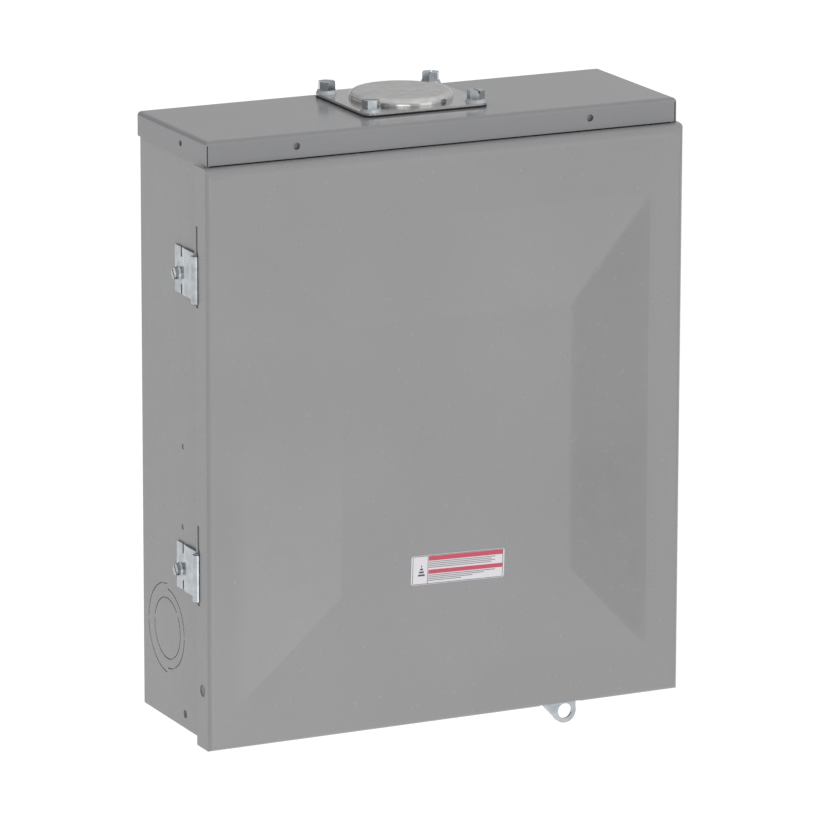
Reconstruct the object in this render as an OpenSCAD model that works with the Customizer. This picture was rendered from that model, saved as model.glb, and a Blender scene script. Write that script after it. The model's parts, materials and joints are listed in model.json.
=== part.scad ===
// Outdoor residential load center with a side-hung door, a rain hood and a blanked-off hub opening.
// Millimetres. X is to the right, the front faces -Y, Z is up.
// The origin is on the wall face, at the middle of the box's width and height.

/* [Enclosure] */
// Outer width of the back box
box_w = 360; // [300:1:440]
// Outer height of the back box
box_h = 429; // [420:1:520]
// Depth of the back box from the wall to its front edge
box_d = 115; // [115:1:140]
// Sheet thickness of the back box, its end walls and the hood
sheet = 1.5; // [1.2:0.1:2]
// Width of the flanges along the edges of the end walls
endwall_flange = 12; // [8:1:14]

/* [Rain hood] */
// Gap between the hood's side skirts and the box
hood_gap = 0.5; // [0.3:0.1:2]
// Height of the hood's skirts from its top
hood_skirt = 17.2; // [14:0.1:24]
// Outside bend radius of the hood
hood_bend = 3; // [2.2:0.1:5]
// Radius of the holes in the hood's skirts
hood_hole_r = 2.6; // [1:0.1:3]
// Distance of the front skirt's holes from the middle
hood_hole_x = 113.6; // [60:0.1:130]

/* [Hub opening] */
// Distance of the hub opening's centre from the wall
hub_y = 46.6; // [46.6:0.1:52]
// Radius of the hub opening
hub_r = 31; // [20:0.5:33]
// Width of the closure plate and its gasket, across the box
hub_plate_w = 96; // [94:0.5:110]
// Depth of the closure plate and its gasket, from front to back
hub_plate_d = 87; // [86:0.5:92]
// Thickness of the closure plate
hub_plate_t = 1.5; // [1:0.1:2]
// Thickness of the gasket
gasket_t = 1.4; // [0.8:0.1:3]
// Distance between the closure screws, across the box
hub_screw_x = 81.6; // [78:0.1:86]
// Distance between the closure screws, from front to back
hub_screw_y = 72.6; // [70:0.1:76]
// Shank radius of the closure screws
hub_screw_r = 3; // [2:0.1:3.2]
// Radius of the pressed dome in the closure plate
dome_r = 37; // [34:0.5:38]
// Height of the pressed dome
dome_h = 5.6; // [5:0.1:10]

/* [Door] */
// Sheet thickness of the door
door_t = 1.2; // [0.9:0.1:1.5]
// Distance from the box's front edge to the door's outer face
door_standoff = 9.8; // [9.8:0.1:20]
// Gap between the box's sides and the door's side returns
door_side_gap = 3.6; // [3.6:0.1:5]
// Distance that the door hangs below the box
door_drop = 3; // [2.8:0.1:6]
// Gap between the door's top and the hood's skirt
door_top_gap = 1; // [1:0.1:4]
// Depth of the door's returns
door_return = 22; // [18:0.5:24]
// Outside bend radius of the door's sides and bottom
door_bend = 4; // [2.5:0.5:6]
// Outside bend radius along the door's top
door_top_bend = 8; // [4:0.5:10]
// Height of the raised panel
panel_raise = 12; // [6:0.5:16]
// Margin between the door's sides and the foot of the raised panel
panel_side_margin = 27.5; // [20:0.5:40]
// Margin between the door's top and the foot of the raised panel
panel_top_margin = 49; // [36:0.5:60]
// Margin between the door's bottom and the foot of the raised panel
panel_bottom_margin = 35; // [30:0.5:60]
// Width of the raised panel's side facets
panel_facet = 68; // [40:0.5:80]
// Height of the raised panel's upper and lower facets
panel_facet_z = 69.5; // [40:0.5:80]
// Radius of the seal hole in the hinge-side return
seal_hole_r = 4.3; // [2:0.1:5]
// Width of the label
label_w = 73; // [40:1:100]
// Height of the label
label_h = 21.3; // [12:0.1:30]
// Angle by which the label is stuck on askew
label_tilt = 1.5; // [0:0.1:3]
// Distance of the label's centre from the door's middle
label_x = 1.5; // [0:0.1:20]

/* [Hinges] */
// Distance from the box's top to the middle of the upper hinge
hinge_from_top = 97.5; // [80:0.5:120]
// Distance from the box's bottom to the middle of the lower hinge
hinge_from_bottom = 118.5; // [100:0.5:125]
// Height of a hinge bracket
hinge_h = 33.5; // [24:0.5:36]
// Thickness of a hinge bracket
hinge_t = 1.5; // [1.2:0.1:2]
// Radius of the rolled journals on the door's hinge side
journal_r = 2; // [1.6:0.1:2.2]
// Running clearance between a journal and its knuckle, on the radius
journal_clear = 0.06; // [0.02:0.01:0.1]
// Width of the door's rear strip beside a hinge slot
hinge_strip = 2.4; // [2:0.1:3]
// Length of the slot that a knuckle reaches through
hinge_slot_h = 57.5; // [50:0.5:70]
// How far the slot reaches below the knuckle
hinge_slot_below = 2.5; // [2:0.1:10]
// Shank radius of the hinge screws
hinge_screw_r = 2.1; // [1.5:0.1:2.5]

/* [Padlock hasps] */
// Distance of the hasps from the middle of the door
hasp_x = 94; // [40:1:120]
// Radius of the padlock hole
hasp_hole_r = 5.5; // [4:0.1:6]
// Radius of the hole in the box's own hasp, behind the door's
box_hasp_hole_r = 6.6; // [4:0.1:6.8]
// Outside radius of a hasp's ring
hasp_ring_r = 8.8; // [8:0.1:11]
// Distance of the padlock hole below the door
hasp_drop = 5.2; // [4:0.1:12]
// Thickness of a hasp
hasp_t = 1.5; // [1.2:0.1:2]
// Gap between the two hasps
hasp_gap = 0.8; // [0.5:0.1:2]

/* [Knockouts] */
// Radius of the side knockout's larger ring, on its wall side
knockout_outer_r = 33; // [31:0.5:34]
// Radius of the side knockout's larger ring, on its front side
knockout_middle_r = 29.5; // [27:0.5:30]
// Radius of the side knockout's smaller ring
knockout_inner_r = 22.6; // [18:0.1:24]
// Width of a knockout's groove
knockout_slit = 0.9; // [0.6:0.1:1.5]
// Depth of a knockout's groove from the outside
knockout_depth = 0.9; // [0.4:0.1:1]
// Distance of the side knockouts from the wall
knockout_y = 41.6; // [38:0.1:50]
// Distance of the side knockouts from the box's bottom
knockout_from_bottom = 65.6; // [50:0.1:80]
// Radius of a small knockout
small_knockout_r = 11.1; // [8:0.1:14]

/* [Wall mounting] */
// Distance between the wall holes across the box
wall_hole_x = 290; // [200:1:290]
// Distance between the wall holes up the box
wall_hole_z = 370; // [330:1:376]
// Radius of the wall holes
wall_hole_r = 3.6; // [2.5:0.1:5]

/* [Breakers] */
// Distance between breaker spaces
pitch = 25.4; // [25.4]
// Gap between neighbouring breakers
breaker_gap = 0.4; // [0.3:0.1:1]
// Length of a branch breaker
breaker_l = 74; // [70:1:78]
// Distance from the wall to the back of a branch breaker
breaker_back = 32; // [32:0.5:34]
// Depth of a branch breaker's body
breaker_d = 56; // [54:0.5:56]
// Height of a breaker's nose above its body
nose_h = 10; // [9:0.5:11]
// Gap between the middle of the panel and a branch breaker
breaker_inner = 4; // [3:0.5:6]
// Width of the main breaker
main_w = 100; // [96:1:104]
// Height of the main breaker
main_h = 84; // [80:1:86]
// Swing of a breaker handle from off to on, in degrees
handle_swing = 38; // [20:1:40]
// Radius of a handle's hub
handle_hub_r = 7; // [6:0.1:7.5]
// Clearance round a handle's hub
handle_clear = 0.3; // [0.3:0.05:0.6]

/* [Dead front] */
// Thickness of the dead front
dead_front_t = 1.5; // [1:0.1:1.8]
// Gap between the dead front and the box's sides
dead_front_gap = 5.5; // [4:0.5:8]
// Gap between a breaker's nose and its window
window_gap = 0.5; // [0.3:0.1:1]
// Shank radius of the dead front's screws
cover_screw_r = 2; // [1.5:0.1:2.4]

/* [Terminal bars] */
// Distance of the neutral bars from the middle of the panel
neutral_x = 118; // [112:1:120]
// Side of a terminal bar's square section
bar_s = 11; // [9:0.5:12]
// Number of terminal screws on each neutral bar
neutral_ways = 12; // [6:1:12]
// Number of terminal screws on the ground bar
ground_ways = 9; // [4:1:10]
// Distance between terminal screws
way_pitch = 12.5; // [10:0.5:12.5]

/* [Hidden] */
$fn = 48;

PAINT = "#9b9d9b";
ZINC = "#c9cdd2";
RUBBER = "#1d1d1d";
MOULDED = "#1c1c1e";
ALUMINIUM = "#d5d8da";
COVER = "#a9aba9";

// Overlap used where one shape is cut or fused through another
e = 0.5;
// Clearance of a screw in its hole, on the radius
screw_clear = 0.2;

// Box
x_out = box_w / 2;
x_in = x_out - sheet;
z_out = box_h / 2;
z_in = z_out - sheet;

// Hood
hood_x = x_out + hood_gap + sheet;
hood_front = box_d + hood_gap + sheet;
hood_top = z_out + sheet;
hood_bottom = hood_top - hood_skirt;
hood_hole_z = hood_bottom + 8.3;
hood_side_hole_y = 73.6;
// Room left for the inside of the hood's bends
hood_relief = max(0.2, hood_bend - sheet - hood_gap);
dimple_depth = 0.6;
wrapper_top = z_out - hood_relief;
endwall_front = box_d - hood_relief;

// Hub: heights above the hood
plate_base = hood_top + gasket_t;
plate_top = plate_base + hub_plate_t;
dome_bend = 4.5;
hub_head_af = 11.1;
hub_head_flange_r = 7.7;
hub_head_h = 8.5;
hub_washer_t = 2.4;
hub_corner_r = 6;
hub_shank = 12;

// Door
door_x = x_out + door_side_gap + door_t;
door_front = box_d + door_standoff;
door_rear = door_front - door_return;
door_bottom = -z_out - door_drop;
door_top = hood_bottom - door_top_gap;
panel_x = door_x - panel_side_margin;
panel_top = door_top - panel_top_margin;
panel_bottom = door_bottom + panel_bottom_margin;
label_z = panel_bottom + panel_facet_z + label_h / 2 + 0.7;
label_t = 0.3;
door_edge_gap = 1;
seal_hole_y = door_front - 12;
seal_hole_z = door_bottom + 42;

// Hinges
axis_x = -(door_x - door_t / 2);
axis_y = -(door_rear + hinge_strip / 2);
knuckle_r = journal_r + journal_clear;
knuckle_out = knuckle_r + hinge_t;
slot_width = knuckle_out - hinge_strip / 2 + 1.6;
hinge_zs = [z_out - hinge_from_top, -z_out + hinge_from_bottom];
leaf_rear = 62;
leaf_front = 75;
leaf_screw_y = 67.5;
leaf_screw_drop = 2.9;
leaf_screw_zs = [hinge_zs[0] - leaf_screw_drop, hinge_zs[1] - leaf_screw_drop];
relief_h = 7;
relief_w = 1.8;

// Hasps
hasp_z = door_bottom - hasp_drop;
door_hasp_front = door_front - door_t;
door_hasp_rear = door_hasp_front - hasp_t;
box_hasp_front = door_hasp_rear - hasp_gap;
box_hasp_rear = box_hasp_front - hasp_t;
hasp_notch_side = 14;
box_hasp_foot = 78;
rivet_r = 2.4;
rivet_head_r = 4;
rivet_head_h = 1.2;

// Interior levels, as distances from the wall
pan_back = 12;
pan_t = 1.5;
pan_face = pan_back + pan_t;
insulator_t = 8.5;
bus_back = pan_face + insulator_t;
bus_t = 3.2;
bus_face = bus_back + bus_t;
stab_root = 29;
stab_tip = 46;
stab_t = 2.4;
breaker_front = breaker_back + breaker_d;
nose_front = breaker_front + nose_h;
dead_front_back = breaker_front + 4.5;
dead_front_face = dead_front_back + dead_front_t;
handle_pivot = nose_front - 7.5;
handle_reach = 18;

// Rows of breaker spaces, counted from the top
rows = 6;
row_top = 46;
function row_z(r) = row_top - pitch * (r - 0.5);
rows_bottom = row_top - rows * pitch;
nose_inner = 6;
nose_outer = 45;
handle_x = 25;
breaker_outer = breaker_inner + breaker_l;

// Each breaker: first row, number of poles
LEFT = [[1, 1], [2, 1], [3, 2], [5, 1]];
RIGHT = [[1, 1], [2, 1], [3, 1], [4, 2]];

handle_width = 8;
g_cover = 2;

// Main breaker
main_bottom = row_top + 12;
main_z = main_bottom + main_h / 2;
main_top = main_bottom + main_h;
main_nose_x = 24;
main_nose_z = 20;
main_hub_r = 9;
main_handle_w = 30;
main_pivot = nose_front - 9;
main_reach = 22;
lug_x = 25;
lug_w = 20;
lug_h = 18;
lug_d = 24;
lug_back = 40;

// Interior pan
pan_x = 92;
pan_top = main_top + 10;
pan_bottom = rows_bottom - 12;
pan_foot = 12;
rail_x = breaker_outer - 3;
rail_tip = breaker_back + 4;
pan_screw_zs = [pan_top - 14, pan_bottom + 14];

// Neutral bars
bar_back = 31;
bar_front = bar_back + bar_s;
neutral_len = (neutral_ways + 1) * way_pitch;
neutral_top = row_top + 4;
neutral_bottom = neutral_top - neutral_len;
strap_h = 12;
strap_t = 2;
strap_z = neutral_bottom - strap_h / 2 - 3;
bar_end = neutral_bottom - strap_h - 6;
bonding_x = 70;
support_w = 15;
support_h = 16;

// Ground bar
ground_z = -z_out + 34;
ground_len = (ground_ways + 1) * way_pitch;
ground_back = 8;

// Cover tabs
tab_z = z_out - 50;
tab_w = 20;
tab_reach = 22;
tab_flange = 18;
tab_t = 1.5;
cover_screw_x = x_in - 12;
dead_front_x = x_in - dead_front_gap;
dead_front_z = z_in - endwall_flange - 3;
dead_front_flange = 8;

// ---------- helpers ----------

// A block between two corners, with depths counted from the wall
module blk(x0, x1, d0, d1, z0, z1) {
    translate([min(x0, x1), -max(d0, d1), min(z0, z1)])
        cube([abs(x1 - x0), abs(d1 - d0), abs(z1 - z0)]);
}

// A cylinder along X, starting at x and centred at depth d and height z
module cyl_x(r, x0, x1, d, z) {
    translate([min(x0, x1), -d, z]) rotate([0, 90, 0]) cylinder(r = r, h = abs(x1 - x0));
}

// A cylinder along Y between two depths
module cyl_y(r, x, d0, d1, z) {
    translate([x, -min(d0, d1), z]) rotate([90, 0, 0]) cylinder(r = r, h = abs(d1 - d0));
}

// A cylinder along Z between two heights
module cyl_z(r, x, d, z0, z1) {
    translate([x, -d, min(z0, z1)]) cylinder(r = r, h = abs(z1 - z0));
}

// Repeats its children at the four corners of a rectangle in X and Z
module at_corners(x, z) {
    for (sx = [-1, 1])
        for (sz = [-1, 1])
            translate([sx * x, 0, sz * z]) children();
}

// A slotted hexagon screw with a washer face, head up, standing on z = 0
module hex_screw(af, flange_r, washer_t, head_h, shank_r, shank_l) {
    difference() {
        union() {
            cylinder(r1 = flange_r, r2 = flange_r * 0.87, h = washer_t);
            cylinder(r = af / sqrt(3), h = head_h, $fn = 6);
            translate([0, 0, -shank_l]) cylinder(r = shank_r, h = shank_l + e);
        }
        translate([-af, -0.6, head_h - 1.6]) cube([2 * af, 1.2, 3]);
    }
}

// A slotted pan-head screw, head up, standing on z = 0
module pan_screw(head_r, head_h, shank_r, shank_l) {
    difference() {
        union() {
            cylinder(r = head_r, h = head_h);
            translate([0, 0, -shank_l]) cylinder(r = shank_r, h = shank_l + e);
        }
        translate([-head_r, -0.5, head_h - 1]) cube([2 * head_r, 1, 2]);
    }
}

// Turns a screw so that its head faces the front at depth d
module facing_front(x, d, z) {
    translate([x, -d, z]) rotate([90, 0, 0]) children();
}

// ---------- enclosure ----------

// A ring-shaped groove on the X axis, centred on a wall's outer face, left whole at its ties
module ring_slit(r, from, to, tie) {
    difference() {
        rotate([0, 90, 0]) difference() {
            cylinder(r = r, h = 2 * knockout_depth, center = true);
            cylinder(r = r - knockout_slit, h = 4 * sheet, center = true);
        }
        for (a = [from, to]) rotate([a, 0, 0]) translate([0, 0, r])
            cube([4 * sheet, tie, 3 * knockout_slit + 1], center = true);
    }
}

// The grooves of one concentric knockout, centred on the origin and facing along X
module concentric_slits() {
    intersection() {
        ring_slit(knockout_outer_r, -90, 90, 3);
        translate([-2 * sheet, 1, -2 * knockout_outer_r])
            cube([4 * sheet, 2 * knockout_outer_r, 4 * knockout_outer_r]);
    }
    intersection() {
        ring_slit(knockout_middle_r, -90, 90, 2);
        translate([-2 * sheet, -1 - 2 * knockout_outer_r, -2 * knockout_outer_r])
            cube([4 * sheet, 2 * knockout_outer_r, 4 * knockout_outer_r]);
    }
    ring_slit(knockout_inner_r, -80, 50, 3);
}

// The groove of one small knockout, facing along Z
module small_slits() {
    difference() {
        cylinder(r = small_knockout_r, h = 2 * knockout_depth, center = true);
        cylinder(r = small_knockout_r - knockout_slit, h = 4 * sheet, center = true);
        for (a = [45, 225]) rotate(a) translate([small_knockout_r, 0, 0])
            cube([3 * knockout_slit + 1, 2.5, 4 * sheet], center = true);
    }
}

module box_wrapper() {
    color(PAINT) difference() {
        blk(-x_out, x_out, 0, box_d, -z_out, wrapper_top);
        blk(-x_in, x_in, sheet, box_d + e, -z_out - e, z_out + e);
        for (s = [-1, 1]) {
            translate([s * x_out, -knockout_y, -z_out + knockout_from_bottom]) concentric_slits();
            for (p = [[70.4, -9.9], [69.3, -68.1]])
                cyl_x(2, s * (x_out - dimple_depth), s * (x_out + e), p[0], p[1]);
            cyl_x(3, s * (x_out - sheet - e), s * (x_out + e), 71.8, -z_out + 10.3);
        }
        for (z = leaf_screw_zs)
            cyl_x(hinge_screw_r + screw_clear, -x_out - e, -x_in + e, leaf_screw_y, z);
        at_corners(wall_hole_x / 2, wall_hole_z / 2) cyl_y(wall_hole_r, 0, -e, sheet + e, 0);
        at_corners(pan_x + pan_foot / 2, 0)
            for (z = pan_screw_zs) cyl_y(2.2, 0, -e, sheet + e, z);
        for (x = [-1, 1]) cyl_y(2.2, x * ground_len / 2 * 0.82, -e, sheet + e, ground_z);
        cyl_y(2.6, -bonding_x, -e, sheet + e, strap_z);
        for (x = [-60, 60]) translate([x, 0, -z_out + 75]) rotate([90, 0, 0]) small_slits();
    }
}

// An end wall: a tray with flanges all round, its sheet at the top
module endwall_tray() {
    difference() {
        blk(-x_in, x_in, sheet, endwall_front, z_out, z_in - endwall_flange);
        blk(-x_in + sheet, x_in - sheet, 2 * sheet, endwall_front - sheet, z_in, -z_out);
    }
}

module top_endwall() {
    color(PAINT) difference() {
        endwall_tray();
        cyl_z(hub_r, 0, hub_y, z_in - e, z_out + e);
        hub_screw_holes(z_in - e, z_out + e);
    }
}

// The four holes that the closure screws pass through, between two heights
module hub_screw_holes(z0, z1) {
    for (sx = [-1, 1]) for (sy = [-1, 1])
        cyl_z(hub_screw_r + screw_clear, sx * hub_screw_x / 2, hub_y + sy * hub_screw_y / 2,
            z0, z1);
}

module bottom_endwall() {
    color(PAINT) difference() {
        mirror([0, 0, 1]) endwall_tray();
        for (p = [[-120, 45], [-70, 40], [70, 40], [120, 45]])
            translate([p[0], -p[1], -z_out]) small_slits();
        translate([0, -40, -z_out]) rotate([0, 90, 0]) concentric_slits();
        for (s = [-1, 1])
            cyl_z(rivet_r + screw_clear, hasp_x + s * 7, box_hasp_foot + 10, -z_out - e, -z_in + e);
    }
}

// The hood's solid outline, with its rounded bends, grown inward by an inset
module hood_block(inset) {
    r = max(hood_bend - inset, 0.6);
    x = hood_x - inset;
    y = hood_front - inset;
    z = hood_top - inset;
    intersection() {
        rotate([90, 0, 0]) linear_extrude(y) hood_arch(x, z, r);
        translate([-x - e, 0, 0]) rotate([0, 90, 0]) rotate([0, 0, 90]) mirror([1, 0, 0])
            linear_extrude(2 * x + 2 * e) hood_side(y, z, r);
    }
}

// Front outline of the hood, rounded at its two upper bends
module hood_arch(x, z, r) {
    translate([-x, hood_bottom - e]) square([2 * x, z - r - hood_bottom + e]);
    translate([-x + r, z - r - e]) square([2 * (x - r), r + e]);
    for (s = [-1, 1]) translate([s * (x - r), z - r]) circle(r);
}

// Side outline of the hood, rounded at its front upper bend
module hood_side(y, z, r) {
    translate([-e, hood_bottom - e]) square([y + e, z - r - hood_bottom + e]);
    translate([-e, z - r - e]) square([y - r + e, r + e]);
    translate([y - r, z - r]) circle(r);
}

module rain_hood() {
    color(PAINT) difference() {
        hood_block(0);
        hood_block(sheet);
        blk(-hood_x - e, hood_x + e, -e, hood_front + e, hood_bottom, hood_bottom - 5);
        cyl_z(hub_r, 0, hub_y, hood_top - sheet - e, hood_top + e);
        hub_screw_holes(hood_top - sheet - e, hood_top + e);
        for (s = [-1, 1]) {
            cyl_y(hood_hole_r, s * hood_hole_x, hood_front - sheet - e, hood_front + e, hood_hole_z);
            cyl_x(2.2, s * (hood_x - sheet - e), s * (hood_x + e), hood_side_hole_y, hood_hole_z);
            // the slit between the side skirt and the front skirt
            blk(s * (hood_x - 1.4), s * (hood_x - 0.6), hood_front - sheet - e,
                hood_front + e, hood_bottom - e, hood_top - hood_bend);
        }
    }
}

// ---------- hub closure ----------

module hub_gasket() {
    color(RUBBER) difference() {
        hub_block(hood_top, plate_base);
        cyl_z(hub_r + 2, 0, hub_y, hood_top - e, plate_base + e);
        hub_screw_holes(hood_top - e, plate_base + e);
    }
}

// A plate over the hub opening, with rounded corners, between two heights
module hub_block(z0, z1) {
    w = hub_plate_w / 2;
    d = hub_plate_d / 2;
    r = hub_corner_r;
    blk(-w, w, hub_y - d + r, hub_y + d - r, z0, z1);
    blk(-w + r, w - r, hub_y - d, hub_y + d, z0, z1);
    for (sx = [-1, 1]) for (sy = [-1, 1])
        cyl_z(r, sx * (w - r), hub_y + sy * (d - r), z0, z1);
}

// Half outline of the pressed dome: a rounded shoulder and a slightly crowned top
module dome_outline(r, h) {
    b = min(dome_bend, h - 1);
    difference() {
        square([r, h]);
        translate([r - b, h - b]) difference() {
            square(b + e);
            circle(b);
        }
    }
}

module hub_closure_plate() {
    color(PAINT) difference() {
        union() {
            hub_block(plate_base, plate_top);
            translate([0, -hub_y, plate_base])
                rotate_extrude($fn = 96) dome_outline(dome_r, hub_plate_t + dome_h);
        }
        translate([0, -hub_y, plate_base - e])
            rotate_extrude($fn = 96) dome_outline(dome_r - hub_plate_t, dome_h + e);
        hub_screw_holes(plate_base - e, plate_top + e);
    }
}

module hub_plate_screws() {
    color(ZINC) for (sx = [-1, 1]) for (sy = [-1, 1])
        translate([sx * hub_screw_x / 2, -hub_y - sy * hub_screw_y / 2, plate_top])
            rotate(20 + 50 * sx + 15 * sy)
                hex_screw(hub_head_af, hub_head_flange_r, hub_washer_t, hub_head_h,
                    hub_screw_r, hub_shank);
}

// ---------- hinges ----------

// Plan outline of a bracket: a flat leaf and a strap that meets the knuckle's inner side
module bracket_outline() {
    inn = -axis_x - knuckle_out;
    polygon([
        [-x_out, -leaf_rear], [-x_out - hinge_t, -leaf_rear], [-x_out - hinge_t, -leaf_front],
        [-inn - hinge_t, -leaf_front - 4], [-inn - hinge_t, axis_y], [-inn, axis_y],
        [-inn, -leaf_front - 4], [-x_out, -leaf_front]
    ]);
}

module hinge_bracket(z) {
    color(ZINC) translate([0, 0, z]) difference() {
        union() {
            translate([0, 0, -hinge_h / 2]) linear_extrude(hinge_h) bracket_outline();
            cyl_z(knuckle_out, axis_x, -axis_y, -hinge_h / 2, hinge_h / 2);
        }
        cyl_z(knuckle_r, axis_x, -axis_y, -hinge_h, hinge_h);
        cyl_x(hinge_screw_r + screw_clear, -x_out - 3, -x_out + e, leaf_screw_y, -leaf_screw_drop);
        for (s = [-1, 1])
            blk(-x_out - 4, -x_out + e, leaf_front - relief_w - 1, leaf_front - 1,
                s * (hinge_h / 2 - relief_h), s * (hinge_h / 2 + e));
    }
}

module hinge_bracket_upper() {
    hinge_bracket(hinge_zs[0]);
}

module hinge_bracket_lower() {
    hinge_bracket(hinge_zs[1]);
}

module hinge_screws() {
    color(ZINC) for (z = leaf_screw_zs) translate([-x_out - hinge_t, -leaf_screw_y, z])
        rotate([0, -90, 0]) rotate(35) hex_screw(8, 5.2, 1.2, 3.6, hinge_screw_r, 9);
}

// ---------- hasps ----------

// A hasp between two depths: a ring below a tapering neck
module hasp_plate(neck_top, d0, d1, hole_r) {
    difference() {
        union() {
            cyl_y(hasp_ring_r, hasp_x, d0, d1, hasp_z);
            plate_between(d0, d1) polygon([
                [hasp_x - 18, neck_top], [hasp_x - 18, door_bottom + 1.5], [hasp_x - 5, hasp_z - 7],
                [hasp_x + 8.6, hasp_z], [hasp_x + 8.6, neck_top]
            ]);
        }
        cyl_y(hole_r, hasp_x, d0 - e, d1 + e, hasp_z);
    }
}

// Extrudes an outline drawn in X and Z between two depths
module plate_between(d0, d1) {
    translate([0, -d0, 0]) rotate([90, 0, 0]) linear_extrude(d1 - d0) children();
}

module box_hasp() {
    foot_z = -z_out;
    color(ZINC) difference() {
        union() {
            hasp_plate(foot_z, box_hasp_rear, box_hasp_front, box_hasp_hole_r);
            blk(hasp_x - 16, hasp_x + 8.6, box_hasp_foot, box_hasp_front, foot_z - hasp_t, foot_z);
        }
        for (s = [-1, 1]) cyl_z(rivet_r + screw_clear, hasp_x + s * 7, box_hasp_foot + 10,
            foot_z - hasp_t - e, foot_z + e);
    }
}

module box_hasp_rivets() {
    color(ZINC) for (s = [-1, 1]) {
        cyl_z(rivet_r, hasp_x + s * 7, box_hasp_foot + 10, -z_out - hasp_t - e / 2, -z_in + e / 2);
        cyl_z(rivet_head_r, hasp_x + s * 7, box_hasp_foot + 10, -z_in, -z_in + rivet_head_h);
        cyl_z(rivet_head_r, hasp_x + s * 7, box_hasp_foot + 10, -z_out - hasp_t,
            -z_out - hasp_t - rivet_head_h);
    }
}

// ---------- interior ----------

module cover_tabs() {
    color(ZINC) for (s = [-1, 1]) for (z = [-tab_z, tab_z]) difference() {
        union() {
            blk(s * x_in, s * (x_in - tab_reach), dead_front_back - tab_t, dead_front_back,
                z - tab_w / 2, z + tab_w / 2);
            blk(s * x_in, s * (x_in - tab_t), dead_front_back - tab_flange, dead_front_back,
                z - tab_w / 2, z + tab_w / 2);
        }
        cyl_y(cover_screw_r + screw_clear, s * cover_screw_x, dead_front_back - tab_t - e,
            dead_front_back + e, z);
    }
}

module interior_pan() {
    color(ZINC) difference() {
        union() {
            blk(-pan_x, pan_x, pan_back, pan_face, pan_bottom, pan_top);
            for (s = [-1, 1]) {
                blk(s * pan_x, s * (pan_x - pan_t), sheet, pan_face, pan_bottom, pan_top);
                blk(s * (pan_x - pan_t), s * (pan_x + pan_foot), sheet, sheet + pan_t,
                    pan_bottom, pan_top);
                blk(s * rail_x, s * (rail_x + pan_t), pan_face - e, rail_tip,
                    rows_bottom + 1, row_top - 1);
            }
        }
        for (z = pan_screw_zs) for (s = [-1, 1])
            cyl_y(2.2, s * (pan_x + pan_foot / 2), sheet - e, sheet + pan_t + e, z);
        for (s = [-1, 1]) for (z = [row_z(2), row_z(5)])
            cyl_y(2.6, s * 48, pan_back - e, pan_face + e, z);
    }
}

module pan_screws() {
    color(ZINC) for (z = pan_screw_zs) for (s = [-1, 1])
        facing_front(s * (pan_x + pan_foot / 2), sheet + pan_t, z) pan_screw(4.2, 2.4, 2, 3);
}

module bus_insulator() {
    color("#2b2b2e") {
        blk(-62, 62, pan_face, bus_back, rows_bottom - 6, main_bottom + 22);
        blk(-1.5, 1.5, bus_back - e, stab_root - 1, rows_bottom, row_top + 2);
        for (r = [0 : rows]) for (s = [-1, 1])
            blk(s * 24, s * 58, bus_back - e, breaker_back - 0.4,
                row_top - r * pitch - 1, row_top - r * pitch + 1);
        for (s = [-1, 1]) for (z = [row_z(2), row_z(5)])
            cyl_y(2.5, s * 48, pan_back - 1, pan_face + e, z);
    }
}

// A bus bar on one side of the middle, with a stab blade for every second row
module bus_bar(side, first_row) {
    color(ALUMINIUM) {
        blk(side * 3, side * 17, bus_back, bus_face, rows_bottom + 4, main_bottom + 18);
        for (r = [first_row : 2 : rows]) {
            blk(side * 4, side * 16, bus_face - e, stab_root + 2, row_z(r) - 5, row_z(r) + 5);
            blk(-22, 22, stab_root, stab_tip, row_z(r) - stab_t / 2, row_z(r) + stab_t / 2);
        }
    }
}

module bus_bar_l1() {
    bus_bar(-1, 1);
}

module bus_bar_l2() {
    bus_bar(1, 2);
}

module neutral_supports() {
    color("#d9d6cc") for (s = [-1, 1]) for (z = [neutral_top - support_h, bar_end])
        blk(s * neutral_x - support_w / 2, s * neutral_x + support_w / 2, sheet, bar_back,
            z, z + support_h);
}

// A neutral bar with a wire hole for each terminal screw
module neutral_bar(side) {
    x = side * neutral_x;
    color(ALUMINIUM) difference() {
        blk(x - bar_s / 2, x + bar_s / 2, bar_back, bar_front, bar_end, neutral_top);
        for (i = [1 : neutral_ways]) {
            cyl_x(2.6, x - bar_s, x + bar_s, bar_back + bar_s * 0.42, neutral_top - i * way_pitch);
            cyl_y(2.3, x, bar_back + bar_s * 0.42, bar_front + e, neutral_top - i * way_pitch);
        }
        cyl_y(2.3, x, bar_back + 4, bar_front + e, strap_z);
    }
}

module neutral_bar_left() {
    neutral_bar(-1);
}

module neutral_bar_right() {
    neutral_bar(1);
}

module neutral_screws() {
    color(ZINC) for (s = [-1, 1]) for (i = [1 : neutral_ways])
        facing_front(s * neutral_x, bar_front + 2.4, neutral_top - i * way_pitch)
            rotate(17 * i) terminal_screw();
}

// A headless-looking terminal screw, its face on z = 0
module terminal_screw() {
    difference() {
        translate([0, 0, -7]) cylinder(r = 2.2, h = 7);
        translate([-3, -0.45, -1]) cube([6, 0.9, 2]);
    }
}

module neutral_strap() {
    color(ALUMINIUM) difference() {
        blk(-neutral_x - bar_s / 2, neutral_x + bar_s / 2, bar_front, bar_front + strap_t,
            strap_z - strap_h / 2, strap_z + strap_h / 2);
        for (s = [-1, 1]) cyl_y(2.4, s * neutral_x, bar_front - e, bar_front + strap_t + e, strap_z);
        cyl_y(2.6, -bonding_x, bar_front - e, bar_front + strap_t + e, strap_z);
    }
}

module strap_screws() {
    color(ZINC) for (s = [-1, 1])
        facing_front(s * neutral_x, bar_front + strap_t, strap_z) pan_screw(4, 2.2, 2.1, 8);
}

module bonding_screw() {
    color("#3f7f4a") facing_front(-bonding_x, bar_front + strap_t, strap_z)
        pan_screw(4.5, 2.6, 2.4, bar_front + strap_t);
}

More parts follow.
